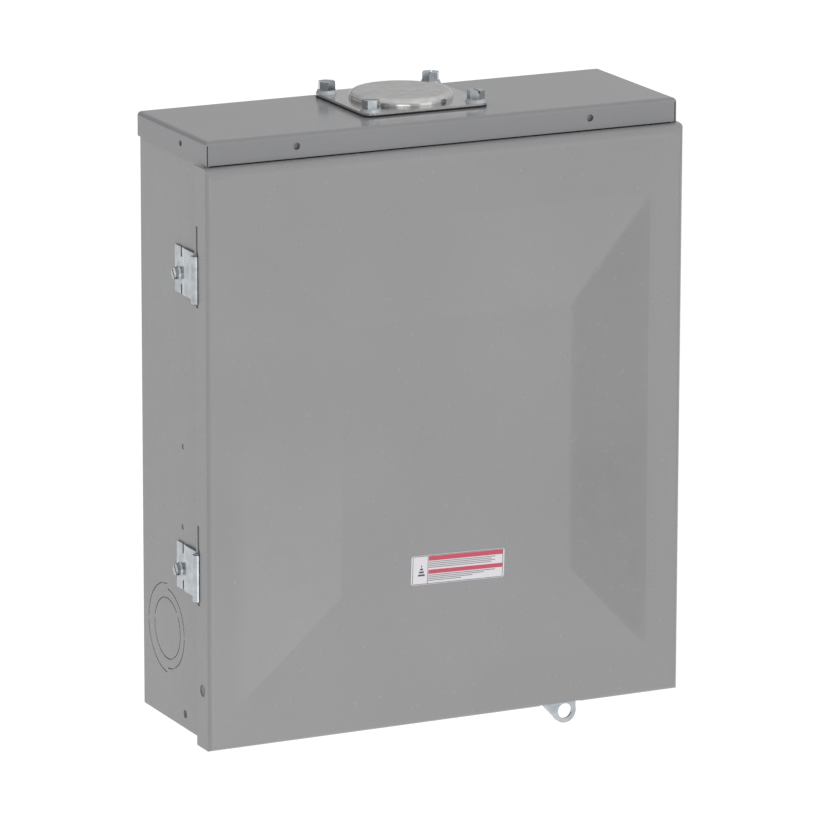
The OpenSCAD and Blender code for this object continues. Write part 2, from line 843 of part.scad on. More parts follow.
module neutral_lug() {
    x = -neutral_x;
    color(ALUMINIUM) difference() {
        blk(x - 10, x + 10, bar_back, bar_back + 24, neutral_top, neutral_top + 26);
        cyl_z(6.8, x, bar_back + 10, neutral_top - e, neutral_top + 26 + e);
        cyl_y(4.2, x, bar_back + 10, bar_back + 24 + e, neutral_top + 13);
    }
    color(ALUMINIUM)
        blk(x - bar_s / 2, x + bar_s / 2, bar_front, bar_front + 3, neutral_top - 9, neutral_top + e);
}

module neutral_lug_screw() {
    color(ZINC) facing_front(-neutral_x, bar_back + 26, neutral_top + 13) lug_screw();
}

// A hexagon-socket clamping screw, its face on z = 0
module lug_screw() {
    difference() {
        translate([0, 0, -11]) cylinder(r = 4, h = 11);
        translate([0, 0, -3]) cylinder(r = 2.6, h = 4, $fn = 6);
    }
}

module ground_bar() {
    color(ALUMINIUM) difference() {
        union() {
            blk(-ground_len / 2, ground_len / 2, ground_back, ground_back + bar_s,
                ground_z - bar_s / 2, ground_z + bar_s / 2);
            for (s = [-1, 1])
                blk(s * ground_len / 2 * 0.74, s * ground_len / 2 * 0.9, sheet, ground_back + e,
                    ground_z - bar_s / 2, ground_z + bar_s / 2);
        }
        for (i = [2 : ground_ways - 1]) {
            cyl_z(2.6, i * way_pitch - ground_len / 2, ground_back + bar_s * 0.42,
                ground_z - bar_s, ground_z + bar_s);
            cyl_y(2.3, i * way_pitch - ground_len / 2, ground_back + bar_s * 0.42,
                ground_back + bar_s + e, ground_z);
        }
        for (s = [-1, 1])
            cyl_y(2.3, s * ground_len / 2 * 0.82, 0, ground_back + bar_s + e, ground_z);
    }
}

module ground_bar_screws() {
    color(ZINC) for (i = [2 : ground_ways - 1])
        facing_front(i * way_pitch - ground_len / 2, ground_back + bar_s + 2.4, ground_z)
            rotate(23 * i) terminal_screw();
    color("#3f7f4a") for (s = [-1, 1])
        facing_front(s * ground_len / 2 * 0.82, ground_back + bar_s, ground_z)
            pan_screw(4, 2.2, 2.1, ground_back + bar_s);
}

// ---------- breakers ----------

// A branch breaker on one side, from its first row down over its poles
module branch_breaker(side, first, poles) {
    z1 = row_z(first) + pitch / 2 - breaker_gap / 2;
    z0 = row_z(first + poles - 1) - pitch / 2 + breaker_gap / 2;
    color(MOULDED) difference() {
        union() {
            blk(side * breaker_inner, side * breaker_outer, breaker_back, breaker_front, z0, z1);
            blk(side * nose_inner, side * nose_outer, breaker_front - e, nose_front,
                z0 + 0.6, z1 - 0.6);
        }
        // recess and thread for the wire terminal at the outer end, slot for the stab blade
        for (p = [0 : poles - 1]) {
            cyl_y(2.2, side * (breaker_outer - 8), breaker_front - 20, breaker_front - 15,
                row_z(first + p));
            blk(side * (breaker_outer - 16), side * (breaker_outer + e), breaker_front - 16,
                breaker_front + e, row_z(first + p) - 8, row_z(first + p) + 8);
            blk(side * 0, side * 24, breaker_back - e, stab_tip + 1,
                row_z(first + p) - stab_t / 2 - 0.3, row_z(first + p) + stab_t / 2 + 0.3);
        }
        // notch that hooks over the pan's rail
        blk(side * (rail_x - 0.4), side * (rail_x + pan_t + 0.4), breaker_back - e,
            rail_tip + 0.4, z0 - e, z1 + e);
        for (p = [0 : poles - 1]) handle_pocket(side, row_z(first + p));
    }
}

// The pocket that a branch handle swings in
module handle_pocket(side, zc) {
    r = handle_hub_r + handle_clear;
    half = handle_width / 2 + handle_clear;
    cyl_z(r, side * handle_x, handle_pivot, zc - half, zc + half);
    translate([side * handle_x, -handle_pivot, zc - half]) linear_extrude(2 * half)
        polygon([[-3.6, 0], [3.6, 0], [10.4, -handle_reach], [-10.4, -handle_reach]]);
}

// A branch handle: a drum and a tapering lever for each pole, joined by a tie bar,
// at rest in the off position
module branch_handle(side, first, poles) {
    low = row_z(first + poles - 1);
    color("#262628") translate([side * handle_x, -handle_pivot, 0])
        rotate(side * handle_swing / 2) {
            for (p = [0 : poles - 1]) translate([0, 0, row_z(first + p) - handle_width / 2]) {
                cylinder(r = handle_hub_r, h = handle_width);
                linear_extrude(handle_width) polygon([
                    [-3.2, 0], [3.2, 0], [2.1, -handle_reach], [-2.1, -handle_reach]
                ]);
            }
            translate([-2.4, -handle_reach - 1, low - handle_width / 2])
                cube([4.8, 6, (poles - 1) * pitch + handle_width]);
        }
}

module breaker_terminal_screws() {
    color(ZINC) for (s = [-1, 1]) for (b = s < 0 ? LEFT : RIGHT) for (p = [0 : b[1] - 1])
        facing_front(s * (breaker_outer - 8), breaker_front - 16, row_z(b[0] + p))
            rotate(30) pan_screw(5, 4, 2, 3);
}

module breaker_left_1() {
    branch_breaker(-1, LEFT[0][0], LEFT[0][1]);
}

module breaker_left_2() {
    branch_breaker(-1, LEFT[1][0], LEFT[1][1]);
}

module breaker_left_3() {
    branch_breaker(-1, LEFT[2][0], LEFT[2][1]);
}

module breaker_left_4() {
    branch_breaker(-1, LEFT[3][0], LEFT[3][1]);
}

module breaker_right_1() {
    branch_breaker(1, RIGHT[0][0], RIGHT[0][1]);
}

module breaker_right_2() {
    branch_breaker(1, RIGHT[1][0], RIGHT[1][1]);
}

module breaker_right_3() {
    branch_breaker(1, RIGHT[2][0], RIGHT[2][1]);
}

module breaker_right_4() {
    branch_breaker(1, RIGHT[3][0], RIGHT[3][1]);
}

module handle_left_1() {
    branch_handle(-1, LEFT[0][0], LEFT[0][1]);
}

module handle_left_2() {
    branch_handle(-1, LEFT[1][0], LEFT[1][1]);
}

module handle_left_3() {
    branch_handle(-1, LEFT[2][0], LEFT[2][1]);
}

module handle_left_4() {
    branch_handle(-1, LEFT[3][0], LEFT[3][1]);
}

module handle_right_1() {
    branch_handle(1, RIGHT[0][0], RIGHT[0][1]);
}

module handle_right_2() {
    branch_handle(1, RIGHT[1][0], RIGHT[1][1]);
}

module handle_right_3() {
    branch_handle(1, RIGHT[2][0], RIGHT[2][1]);
}

module handle_right_4() {
    branch_handle(1, RIGHT[3][0], RIGHT[3][1]);
}

module main_breaker_case() {
    half = main_handle_w / 2 + handle_clear;
    color(MOULDED) difference() {
        union() {
            blk(-main_w / 2, main_w / 2, bus_face, breaker_front, main_bottom, main_top);
            blk(-main_nose_x, main_nose_x, breaker_front - e, nose_front,
                main_z - main_nose_z, main_z + main_nose_z);
        }
        // recesses for the line lugs
        for (s = [-1, 1])
            blk(s * lug_x - lug_w / 2 - 0.4, s * lug_x + lug_w / 2 + 0.4, lug_back,
                breaker_front + e, main_top - lug_h, main_top + e);
        cyl_x(main_hub_r + handle_clear, -half, half, main_pivot, main_z);
        translate([-half, -main_pivot, main_z]) rotate([90, 0, 90]) linear_extrude(2 * half)
            polygon([[0, -4], [0, 4], [-main_reach, 12], [-main_reach, -12]]);
    }
}

module main_lugs() {
    color(ALUMINIUM) for (s = [-1, 1]) difference() {
        blk(s * lug_x - lug_w / 2, s * lug_x + lug_w / 2, lug_back, lug_back + lug_d,
            main_top - lug_h, main_top);
        cyl_z(6.5, s * lug_x, lug_back + 10, main_top - lug_h + 3, main_top + e);
        cyl_y(4.2, s * lug_x, lug_back + 10, lug_back + lug_d + e, main_top - lug_h / 2);
    }
}

module main_lug_screws() {
    color(ZINC) for (s = [-1, 1])
        facing_front(s * lug_x, lug_back + lug_d + 2, main_top - lug_h / 2) lug_screw();
}

module main_handle() {
    color("#262628") translate([-main_handle_w / 2, -main_pivot, main_z])
        rotate([handle_swing / 2, 0, 0]) {
            rotate([0, 90, 0]) cylinder(r = main_hub_r, h = main_handle_w);
            rotate([90, 0, 90]) linear_extrude(main_handle_w)
                polygon([[0, -4.2], [0, 4.2], [-main_reach, 3], [-main_reach, -3]]);
        }
}

// ---------- dead front ----------

module dead_front() {
    g = window_gap;
    color(COVER) difference() {
        union() {
            blk(-dead_front_x, dead_front_x, dead_front_back, dead_front_face,
                -dead_front_z, dead_front_z);
            for (s = [-1, 1])
                blk(-dead_front_x, dead_front_x, dead_front_back - dead_front_flange,
                    dead_front_face, s * dead_front_z, s * (dead_front_z - dead_front_t));
        }
        for (s = [-1, 1]) {
            blk(s * (nose_inner - g), s * (nose_outer + g), dead_front_back - e,
                dead_front_face + e, rows_bottom - g, row_top + g);
            for (z = [-tab_z, tab_z])
                cyl_y(cover_screw_r + screw_clear, s * cover_screw_x, dead_front_back - e,
                    dead_front_face + e, z);
        }
        blk(-main_nose_x - g, main_nose_x + g, dead_front_back - e, dead_front_face + e,
            main_z - main_nose_z - g, main_z + main_nose_z + g);
    }
}

module dead_front_screws() {
    color(ZINC) for (s = [-1, 1]) for (z = [-tab_z, tab_z])
        facing_front(s * cover_screw_x, dead_front_face, z) rotate(40 * s)
            pan_screw(4.4, 2.4, cover_screw_r, 7);
}

module filler_plates() {
    color(MOULDED) for (s = [-1, 1]) {
        z = row_z(6);
        blk(s * (nose_inner - g_cover), s * (nose_outer + g_cover), dead_front_face,
            dead_front_face + 1.8, z - pitch / 2 - g_cover, z + pitch / 2 - 0.7);
        blk(s * nose_inner, s * nose_outer, dead_front_back - 2, dead_front_face + e,
            z - pitch / 2 + 1, z + pitch / 2 - 1.5);
    }
}

// ---------- door ----------

// A door-shaped block with rounded bends, grown inward by an inset, open towards the wall
module door_block(inset) {
    x = door_x - inset;
    y = door_front - inset;
    r = max(door_bend - inset, 0.8);
    rt = max(door_top_bend - inset, 0.8);
    z0 = door_bottom + inset;
    z1 = door_top - inset;
    rear = inset > 0 ? door_rear - e : door_rear;
    intersection() {
        translate([0, 0, z0]) linear_extrude(z1 - z0) door_plan(x, y, r, rear);
        translate([-x - e, 0, 0]) rotate([90, 0, 90]) linear_extrude(2 * x + 2 * e)
            door_profile(y, z0, z1, r, rt, rear);
    }
}

// Plan outline of the door, rounded at its two front bends
module door_plan(x, y, r, rear) {
    translate([-x, -y + r]) square([2 * x, y - r - rear]);
    translate([-x + r, -y]) square([2 * (x - r), r + e]);
    for (s = [-1, 1]) translate([s * (x - r), -y + r]) circle(r);
}

// Side outline of the door, rounded at its bottom and top bends
module door_profile(y, z0, z1, r, rt, rear) {
    translate([-y, z0 + r]) square([y - rear, z1 - z0 - r - rt]);
    translate([-y + r, z0]) square([y - r - rear, r + e]);
    translate([-y + rt, z1 - rt - e]) square([y - rt - rear, rt + e]);
    translate([-y + r, z0 + r]) circle(r);
    translate([-y + rt, z1 - rt]) circle(rt);
}

// The raised panel: a frustum with sloping facets, its foot at depth d
module raised_panel(d) {
    hull() {
        blk(-panel_x, panel_x, d - 0.01, d, panel_bottom, panel_top);
        blk(-panel_x + panel_facet, panel_x - panel_facet, d, d + panel_raise,
            panel_bottom + panel_facet_z, panel_top - panel_facet_z);
    }
}

module door_panel() {
    color(PAINT) {
        difference() {
            union() {
                door_block(0);
                raised_panel(door_front);
            }
            door_block(door_t);
            raised_panel(door_front - door_t);
            // the top return stops short of the box's front edge
            blk(-door_x + door_t, door_x - door_t, door_rear - e, box_d + door_edge_gap,
                door_top - door_top_bend, door_top + e);
            for (z = hinge_zs)
                blk(-door_x - e, -door_x + door_t + e, -axis_y + hinge_strip / 2,
                    -axis_y + hinge_strip / 2 + slot_width,
                    z - hinge_h / 2 - hinge_slot_below,
                    z - hinge_h / 2 - hinge_slot_below + hinge_slot_h);
            cyl_x(seal_hole_r, -door_x - e, -door_x + door_t + e, seal_hole_y, seal_hole_z);
            blk(hasp_x - 18 - 2, hasp_x + hasp_notch_side, door_rear - e, door_front - door_t,
                door_bottom - e, door_bottom + door_bend + e);
        }
        for (z = hinge_zs)
            cyl_z(journal_r, axis_x, -axis_y, z - hinge_h / 2 - 1.2, z + hinge_h / 2 + 1.2);
    }
}

module door_hasp() {
    color(ZINC)
        hasp_plate(door_bottom + 25, door_hasp_rear, door_hasp_front, hasp_hole_r);
}

module door_label() {
    d = door_front + panel_raise;
    color("white") translate([label_x, 0, label_z]) rotate([0, label_tilt, 0])
        blk(-label_w / 2, label_w / 2, d, d + label_t, -label_h / 2, label_h / 2);
}

module directory_card() {
    d = door_front + panel_raise - door_t;
    color("white") blk(-70, 70, d, d - 0.4, panel_bottom + panel_facet_z + 20,
        panel_top - panel_facet_z - 20);
}

box_wrapper();
top_endwall();
bottom_endwall();
rain_hood();
hub_gasket();
hub_closure_plate();
hub_plate_screws();
hinge_bracket_upper();
hinge_bracket_lower();
hinge_screws();
box_hasp();
box_hasp_rivets();
cover_tabs();
interior_pan();
pan_screws();
bus_insulator();
bus_bar_l1();
bus_bar_l2();
neutral_supports();
neutral_bar_left();
neutral_bar_right();
neutral_screws();
neutral_strap();
strap_screws();
bonding_screw();
neutral_lug();
neutral_lug_screw();
ground_bar();
ground_bar_screws();
main_breaker_case();
main_lugs();
main_lug_screws();
breaker_terminal_screws();
breaker_left_1();
breaker_left_2();
breaker_left_3();
breaker_left_4();
breaker_right_1();
breaker_right_2();
breaker_right_3();
breaker_right_4();
dead_front();
dead_front_screws();
filler_plates();
main_handle();
handle_left_1();
handle_left_2();
handle_left_3();
handle_left_4();
handle_right_1();
handle_right_2();
handle_right_3();
handle_right_4();
door_panel();
door_hasp();
door_label();
directory_card();
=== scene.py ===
import json
import math

import bmesh
import bpy
from mathutils import Matrix, Vector


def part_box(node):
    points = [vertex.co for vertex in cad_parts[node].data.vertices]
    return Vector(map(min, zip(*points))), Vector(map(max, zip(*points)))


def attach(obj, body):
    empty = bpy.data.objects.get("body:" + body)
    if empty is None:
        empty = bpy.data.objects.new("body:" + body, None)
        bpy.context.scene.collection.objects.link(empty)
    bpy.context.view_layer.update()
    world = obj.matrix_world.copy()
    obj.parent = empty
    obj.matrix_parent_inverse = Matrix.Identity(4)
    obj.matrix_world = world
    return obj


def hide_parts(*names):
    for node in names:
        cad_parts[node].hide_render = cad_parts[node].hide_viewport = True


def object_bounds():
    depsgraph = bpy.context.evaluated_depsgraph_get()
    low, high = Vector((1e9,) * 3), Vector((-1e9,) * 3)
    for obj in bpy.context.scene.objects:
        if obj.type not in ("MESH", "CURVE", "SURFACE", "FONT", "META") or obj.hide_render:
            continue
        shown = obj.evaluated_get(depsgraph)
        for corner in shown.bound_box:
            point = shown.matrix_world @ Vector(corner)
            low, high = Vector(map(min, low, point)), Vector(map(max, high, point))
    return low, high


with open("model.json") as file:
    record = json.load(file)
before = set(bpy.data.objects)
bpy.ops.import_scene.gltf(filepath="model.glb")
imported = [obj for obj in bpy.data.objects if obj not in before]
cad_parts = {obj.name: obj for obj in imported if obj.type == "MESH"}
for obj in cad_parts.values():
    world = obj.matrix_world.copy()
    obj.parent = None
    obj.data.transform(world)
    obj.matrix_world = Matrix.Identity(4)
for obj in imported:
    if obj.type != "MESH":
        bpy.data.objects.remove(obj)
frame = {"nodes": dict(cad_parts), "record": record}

CAD_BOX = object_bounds()
MM = 0.001
NODES = frame["nodes"]
RECORD = frame["record"]


# ---------- node material helpers ----------

def new_material(name):
    """An empty node material with its shader and output."""
    mat = bpy.data.materials.new(name)
    mat.use_nodes = True
    tree = mat.node_tree
    tree.nodes.clear()
    out = tree.nodes.new("ShaderNodeOutputMaterial")
    shader = tree.nodes.new("ShaderNodeBsdfPrincipled")
    tree.links.new(shader.outputs["BSDF"], out.inputs["Surface"])
    return mat, tree, shader


def position(tree):
    """Object coordinates, which are metres in the row frame."""
    return tree.nodes.new("ShaderNodeTexCoord").outputs["Object"]


def stretched(tree, source, scale):
    """Coordinates scaled per axis, for brushed or streaky detail."""
    node = tree.nodes.new("ShaderNodeMapping")
    node.inputs["Scale"].default_value = scale
    tree.links.new(source, node.inputs["Vector"])
    return node.outputs["Vector"]


def noise(tree, source, scale, detail=3.0, rough=0.5):
    """Fractal noise, with its scale in cycles per metre."""
    node = tree.nodes.new("ShaderNodeTexNoise")
    node.inputs["Scale"].default_value = scale
    node.inputs["Detail"].default_value = detail
    node.inputs["Roughness"].default_value = rough
    tree.links.new(source, node.inputs["Vector"])
    return node.outputs["Fac"]


def ranged(tree, source, low, high, from_low=0.3, from_high=0.7):
    """A value moved from one range to another, and held inside it."""
    node = tree.nodes.new("ShaderNodeMapRange")
    node.inputs["From Min"].default_value = from_low
    node.inputs["From Max"].default_value = from_high
    node.inputs["To Min"].default_value = low
    node.inputs["To Max"].default_value = high
    tree.links.new(source, node.inputs["Value"])
    return node.outputs["Result"]


def blended(tree, factor, first, second):
    """A colour between two, by a factor; each colour is a tuple or a socket."""
    node = tree.nodes.new("ShaderNodeMix")
    node.data_type = "RGBA"
    tree.links.new(factor, node.inputs[0])
    for slot, value in ((6, first), (7, second)):
        if isinstance(value, tuple):
            node.inputs[slot].default_value = (*value, 1.0)
        else:
            tree.links.new(value, node.inputs[slot])
    return node.outputs[2]


def bumped(tree, shader, layers):
    """Stacked bumps: each layer is (height socket, strength, distance in metres)."""
    normal = None
    for height, strength, distance in layers:
        node = tree.nodes.new("ShaderNodeBump")
        node.inputs["Strength"].default_value = strength
        node.inputs["Distance"].default_value = distance
        tree.links.new(height, node.inputs["Height"])
        if normal is not None:
            tree.links.new(normal, node.inputs["Normal"])
        normal = node.outputs["Normal"]
    tree.links.new(normal, shader.inputs["Normal"])


def tinted(colour, factor):
    """A colour made darker or lighter, with each channel held below 1."""
    return tuple(min(1.0, c * factor) for c in colour)


EVEN = (1.0, 1.0, 1.0)


def paint(name, colour, rough_low, rough_high, peel=0.22):
    """Semi-gloss baked paint: faint mottling and orange peel."""
    mat, tree, shader = new_material(name)
    pos = position(tree)
    cloud = ranged(tree, noise(tree, pos, scale=9.0, detail=4.0), 0.0, 1.0)
    fine = ranged(tree, noise(tree, pos, scale=120.0), 0.0, 1.0)
    base = blended(tree, cloud, tinted(colour, 0.965), tinted(colour, 1.03))
    tree.links.new(base, shader.inputs["Base Color"])
    rough = ranged(tree, fine, rough_low, rough_high, 0.0, 1.0)
    tree.links.new(rough, shader.inputs["Roughness"])
    shader.inputs["Metallic"].default_value = 0.0
    shader.inputs["IOR"].default_value = 1.5
    waviness = 0.05
    bumped(tree, shader, [
        (noise(tree, pos, scale=420.0, detail=2.0), peel, 0.04 * MM),
        (noise(tree, pos, scale=28.0, detail=2.0), waviness, 0.2 * MM),
    ])
    return mat


def plated(name, colour, rough_low, rough_high, second=None, streak=EVEN, scratch=0.1):
    """Plated metal: cloudy passivation, fine scratches and uneven gloss."""
    mat, tree, shader = new_material(name)
    pos = position(tree)
    run = stretched(tree, pos, streak)
    cloud = ranged(tree, noise(tree, pos, scale=150.0, detail=4.0), 0.0, 1.0)
    base = blended(tree, cloud, tinted(colour, 0.86), second or tinted(colour, 1.08))
    tree.links.new(base, shader.inputs["Base Color"])
    shader.inputs["Metallic"].default_value = 1.0
    gloss = noise(tree, run, scale=600.0, detail=4.0, rough=0.6)
    tree.links.new(ranged(tree, gloss, rough_low, rough_high), shader.inputs["Roughness"])
    bumped(tree, shader, [(noise(tree, run, scale=900.0, rough=0.6), scratch, 0.04 * MM)])
    return mat


def moulded(name, colour, rough_low=0.42, rough_high=0.6, grain=0.35):
    """Moulded plastic: fine spark texture, slight blotches, a little wear."""
    mat, tree, shader = new_material(name)
    pos = position(tree)
    cloud = ranged(tree, noise(tree, pos, scale=60.0, detail=4.0), 0.0, 1.0)
    base = blended(tree, cloud, tinted(colour, 0.85), tinted(colour, 1.2))
    tree.links.new(base, shader.inputs["Base Color"])
    rub = ranged(tree, noise(tree, pos, scale=45.0), rough_low, rough_high)
    tree.links.new(rub, shader.inputs["Roughness"])
    bumped(tree, shader, [(noise(tree, pos, scale=2200.0, detail=2.0), grain, 0.06 * MM)])
    return mat


def rubbery(name, colour):
    """Matt cellular rubber."""
    mat, tree, shader = new_material(name)
    pos = position(tree)
    cells = noise(tree, pos, scale=1500.0, detail=2.0, rough=0.7)
    base = blended(tree, cells, tinted(colour, 0.6), tinted(colour, 1.5))
    tree.links.new(base, shader.inputs["Base Color"])
    rough = ranged(tree, noise(tree, pos, scale=200.0), 0.7, 0.9)
    tree.links.new(rough, shader.inputs["Roughness"])
    pore = 0.5
    bumped(tree, shader, [(cells, pore, 0.2 * MM)])
    return mat


def papery(name, colour):
    """Uncoated card with a faint fibre running up it."""
    mat, tree, shader = new_material(name)
    pos = position(tree)
    run = stretched(tree, pos, (1.0, 1.0, 4.0))
    fibre = noise(tree, run, scale=700.0, detail=4.0, rough=0.7)
    base = blended(tree, fibre, tinted(colour, 0.92), tinted(colour, 1.03))
    tree.links.new(base, shader.inputs["Base Color"])
    tree.links.new(ranged(tree, fibre, 0.75, 0.9), shader.inputs["Roughness"])
    tooth = 0.2
    bumped(tree, shader, [(fibre, tooth, 0.05 * MM)])
    return mat


def printed(name, colour, rough=0.35):
    """Printed film: even ink with faint mottling under a smooth laminate."""
    mat, tree, shader = new_material(name)
    pos = position(tree)
    ink = noise(tree, pos, scale=500.0)
    base = blended(tree, ink, tinted(colour, 0.95), tinted(colour, 1.04))
    tree.links.new(base, shader.inputs["Base Color"])
    sheen = ranged(tree, noise(tree, pos, scale=90.0), rough - 0.05, rough + 0.08)
    tree.links.new(sheen, shader.inputs["Roughness"])
    ripple = 0.1
    bumped(tree, shader, [(noise(tree, pos, scale=60.0), ripple, 0.08 * MM)])
    return mat


# Base colours of the painted pieces; the hood is a shade darker than the box and the door
PAINT_GREY = (0.246, 0.246, 0.251)
HOOD_GREY = (0.208, 0.210, 0.217)
COVER_GREY = (0.34, 0.35, 0.35)
MATERIALS = {
    "grey_paint": paint("grey_paint", PAINT_GREY, 0.20, 0.28, 0.12),
    "hood_paint": paint("hood_paint", HOOD_GREY, 0.12, 0.19, 0.05),
    "bright_steel": plated("bright_steel", (0.50, 0.495, 0.49), 0.10, 0.16,
                           streak=(1.0, 0.2, 1.0), scratch=0.02),
    "cover_grey": paint("cover_grey", COVER_GREY, 0.36, 0.48),
    "zinc_plate": plated("zinc_plate", (0.40, 0.43, 0.46), 0.14, 0.26, (0.50, 0.53, 0.55)),
    "tin_aluminium": plated("tin_aluminium", (0.74, 0.75, 0.76), 0.28, 0.46,
                            streak=(1.0, 1.0, 0.06)),
    "moulded_black": moulded("moulded_black", (0.028, 0.028, 0.030)),
    "handle_black": moulded("handle_black", (0.045, 0.045, 0.048), 0.32, 0.5, 0.2),
    "moulded_white": moulded("moulded_white", (0.62, 0.60, 0.54), 0.4, 0.55, 0.15),
    "gasket_rubber": rubbery("gasket_rubber", (0.012, 0.012, 0.012)),
    "green_screw": plated("green_screw", (0.06, 0.26, 0.10), 0.25, 0.4),
    "label_white": printed("label_white", (0.62, 0.60, 0.63)),
    "card_paper": papery("card_paper", (0.80, 0.79, 0.74)),
}
for part in RECORD["subparts"]:
    node = NODES[part["node"]]
    node.data.materials.clear()
    finish = "hood_paint" if part["node"] == "rain_hood" else part["material_slot"]
    node.data.materials.append(MATERIALS[finish])


# ---------- mesh helpers ----------

def smooth_by_angle(mesh, degrees):
    """Smooth faces, with the edges sharper than an angle kept sharp."""
    bm = bmesh.new()
    bm.from_mesh(mesh)
    limit = math.radians(degrees)
    for face in bm.faces:
        face.smooth = True
    for edge in bm.edges:
        edge.smooth = len(edge.link_faces) == 2 and edge.calc_face_angle(3.2) < limit
    bm.to_mesh(mesh)
    bm.free()


def piece(name, mesh, body):
    """A new piece that rides on a body of the frame."""
    obj = bpy.data.objects.new(name, mesh)
    bpy.context.scene.collection.objects.link(obj)
    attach(obj, body)
    return obj


def weigh_normals(obj):
    """Flat sheet keeps a flat shade beside its rounded bends."""
    mod = obj.modifiers.new("weighted", "WEIGHTED_NORMAL")
    mod.keep_sharp = True
    mod.weight = 100


def sliced(bm, axis, start, stop, step):
    """Cuts a mesh across an axis at even steps, so that it can bend there."""
    value = start
    while value < stop:
        point = Vector((0, 0, 0))
        point[axis] = value
        normal = Vector((0, 0, 0))
        normal[axis] = 1.0
        geom = bm.verts[:] + bm.edges[:] + bm.faces[:]
        bmesh.ops.bisect_plane(bm, geom=geom, dist=1e-7, plane_co=point, plane_no=normal)
        value += step


# ---------- door: the pressed panel with soft creases ----------

def ramp(t, foot, crest):
    """A ramp from 0 to 1 whose two ends are rounded off."""
    if t <= -foot:
        return 0.0
    if t < foot:
        return (t + foot) ** 2 / (4.0 * foot)
    if t >= 1.0 + crest:
        return 1.0
    if t > 1.0 - crest:
        return 1.0 - (1.0 + crest - t) ** 2 / (4.0 * crest)
    return t


def soft_min(a, b, k):
    """The smaller of two values, rounded where they meet."""
    h = max(k - abs(a - b), 0.0) / k
    return min(a, b) - h * h * k * 0.25


def pressed_height(x, z, shape, foot, crest, fold):
    """How far the raised panel stands out at a point; a foot of 0 gives sharp creases."""
    half_x, low, high, facet_x, facet_z, raise_by = shape
    side = (half_x - abs(x)) / facet_x
    ends = min((z - low) / facet_z, (high - z) / facet_z)
    if foot == 0.0:
        return raise_by * max(0.0, min(1.0, side, ends))
    return raise_by * ramp(soft_min(side, ends, fold), foot, crest)


# How far the raised panel stays inside the door's sides, bottom and top
PANEL_INSET = (27.5 * MM, 35.0 * MM, 49.0 * MM)
PANEL_FACETS = (68.0 * MM, 69.5 * MM)
PANEL_RISE = 12.0 * MM
# Rounding of the panel's foot, crest and corner folds, as shares of a facet
SOFTNESS = (0.13, 0.10, 0.05)
DOOR_SHEET = 1.2 * MM
# How near a point must be to the sharp panel to count as part of it
ON_PANEL = 0.06 * MM
DOOR_STEP = 6.0 * MM
DOOR_MARGIN = 15.0 * MM
door_low, door_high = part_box("door_panel")
# Half width, bottom, top, facet width, facet height and rise of the raised panel
PANEL = (
    door_high[0] - PANEL_INSET[0],
    door_low[2] + PANEL_INSET[1],
    door_high[2] - PANEL_INSET[2],
    *PANEL_FACETS,
    PANEL_RISE,
)
PANEL_FOOT = door_low[1] + PANEL_RISE


def door_skin():
    """The door's folded sheet with the raised panel's creases rounded as in a pressing."""
    half_x, bottom, top = PANEL[:3]
    mesh = NODES["door_panel"].data.copy()
    mesh.name = "door_skin"
    bm = bmesh.new()
    bm.from_mesh(mesh)
    bmesh.ops.remove_doubles(bm, verts=bm.verts, dist=1e-6)
    sliced(bm, 0, -half_x - DOOR_MARGIN, half_x + DOOR_MARGIN, DOOR_STEP)
    sliced(bm, 2, bottom - DOOR_MARGIN, top + DOOR_MARGIN, DOOR_STEP)
    for vert in bm.verts:
        x, y, z = vert.co
        sharp = pressed_height(x, z, PANEL, 0.0, 0.0, 0.0)
        for level in (PANEL_FOOT, PANEL_FOOT + DOOR_SHEET):
            if abs(y - (level - sharp)) < ON_PANEL:
                vert.co.y = level - pressed_height(x, z, PANEL, *SOFTNESS)
                break
    bmesh.ops.dissolve_degenerate(bm, edges=bm.edges, dist=1e-7)
    bm.normal_update()
    bm.to_mesh(mesh)
    bm.free()
    smooth_by_angle(mesh, degrees=32.0)
    obj = piece("door_skin", mesh, "door")
    mesh.materials.clear()
    mesh.materials.append(MATERIALS["grey_paint"])
    weigh_normals(obj)
    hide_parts("door_panel")
    return obj


door_skin()


# ---------- label: a plain generic print ----------

def slab(bm, x0, x1, y0, y1, z0, z1):
    """A closed block from its corners, added to a bmesh."""
    corners = [bm.verts.new((x, y, z)) for x in (x0, x1) for y in (y0, y1) for z in (z0, z1)]
    quads = ((0, 1, 3, 2), (4, 6, 7, 5), (0, 4, 5, 1),
             (2, 3, 7, 6), (0, 2, 6, 4), (1, 5, 7, 3))
    for quad in quads:
        bm.faces.new([corners[i] for i in quad])


LABEL_TILT = math.radians(1.5)
LABEL_STEP = 2.0 * MM
LABEL_CORNER = 0.8 * MM
INK_FILM = 0.05 * MM
# Fractions of the label's width or height: where the text starts and ends, the height of a
# line, the thickness of a rule, and the frame's lower and upper edges
TEXT_LEFT = 0.185
TEXT_RIGHT = 0.90
HEADING_RIGHT = 0.98
LINE_TALL = 0.026
RULE = 0.005
FRAME_LOW = 0.035
FRAME_HIGH = 0.965


def laid_on_door(bm, centre):
    """Turns a flat print askew about its centre and lays it on the pressed panel."""
    for axis in (0, 2):
        spread = [v.co[axis] for v in bm.verts]
        sliced(bm, axis, min(spread) + LABEL_STEP, max(spread), LABEL_STEP)
    turn = Matrix.Translation(centre) @ Matrix.Rotation(LABEL_TILT, 4, "Y")
    bmesh.ops.transform(bm, matrix=turn, verts=bm.verts)
    for vert in bm.verts:
        x, _, z = vert.co
        vert.co.y += PANEL_RISE - pressed_height(x, z, PANEL, *SOFTNESS)


